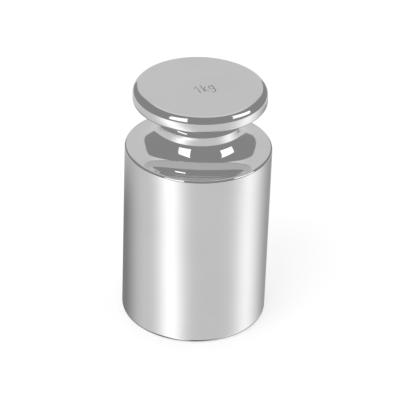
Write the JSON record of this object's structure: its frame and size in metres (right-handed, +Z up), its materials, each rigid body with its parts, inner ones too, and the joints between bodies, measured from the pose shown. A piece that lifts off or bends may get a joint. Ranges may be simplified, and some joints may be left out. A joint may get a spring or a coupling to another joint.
{
  "type": "calibration weight",
  "caption": "Mirror-polished steel calibration weight: a round body with a flat top, a waisted neck and a disc knob for lifting.",
  "frame": {"origin": "centre of the flat base", "axes": "+Z up along the axis the weight was turned on, from the base to the knob"},
  "size_m": [0.048, 0.048, 0.0835],
  "materials": {
    "polished_steel": "mirror-polished stainless steel"
  },
  "bodies": {
    "root": {"knob_weight": "polished_steel"}
  },
  "joints": []
}
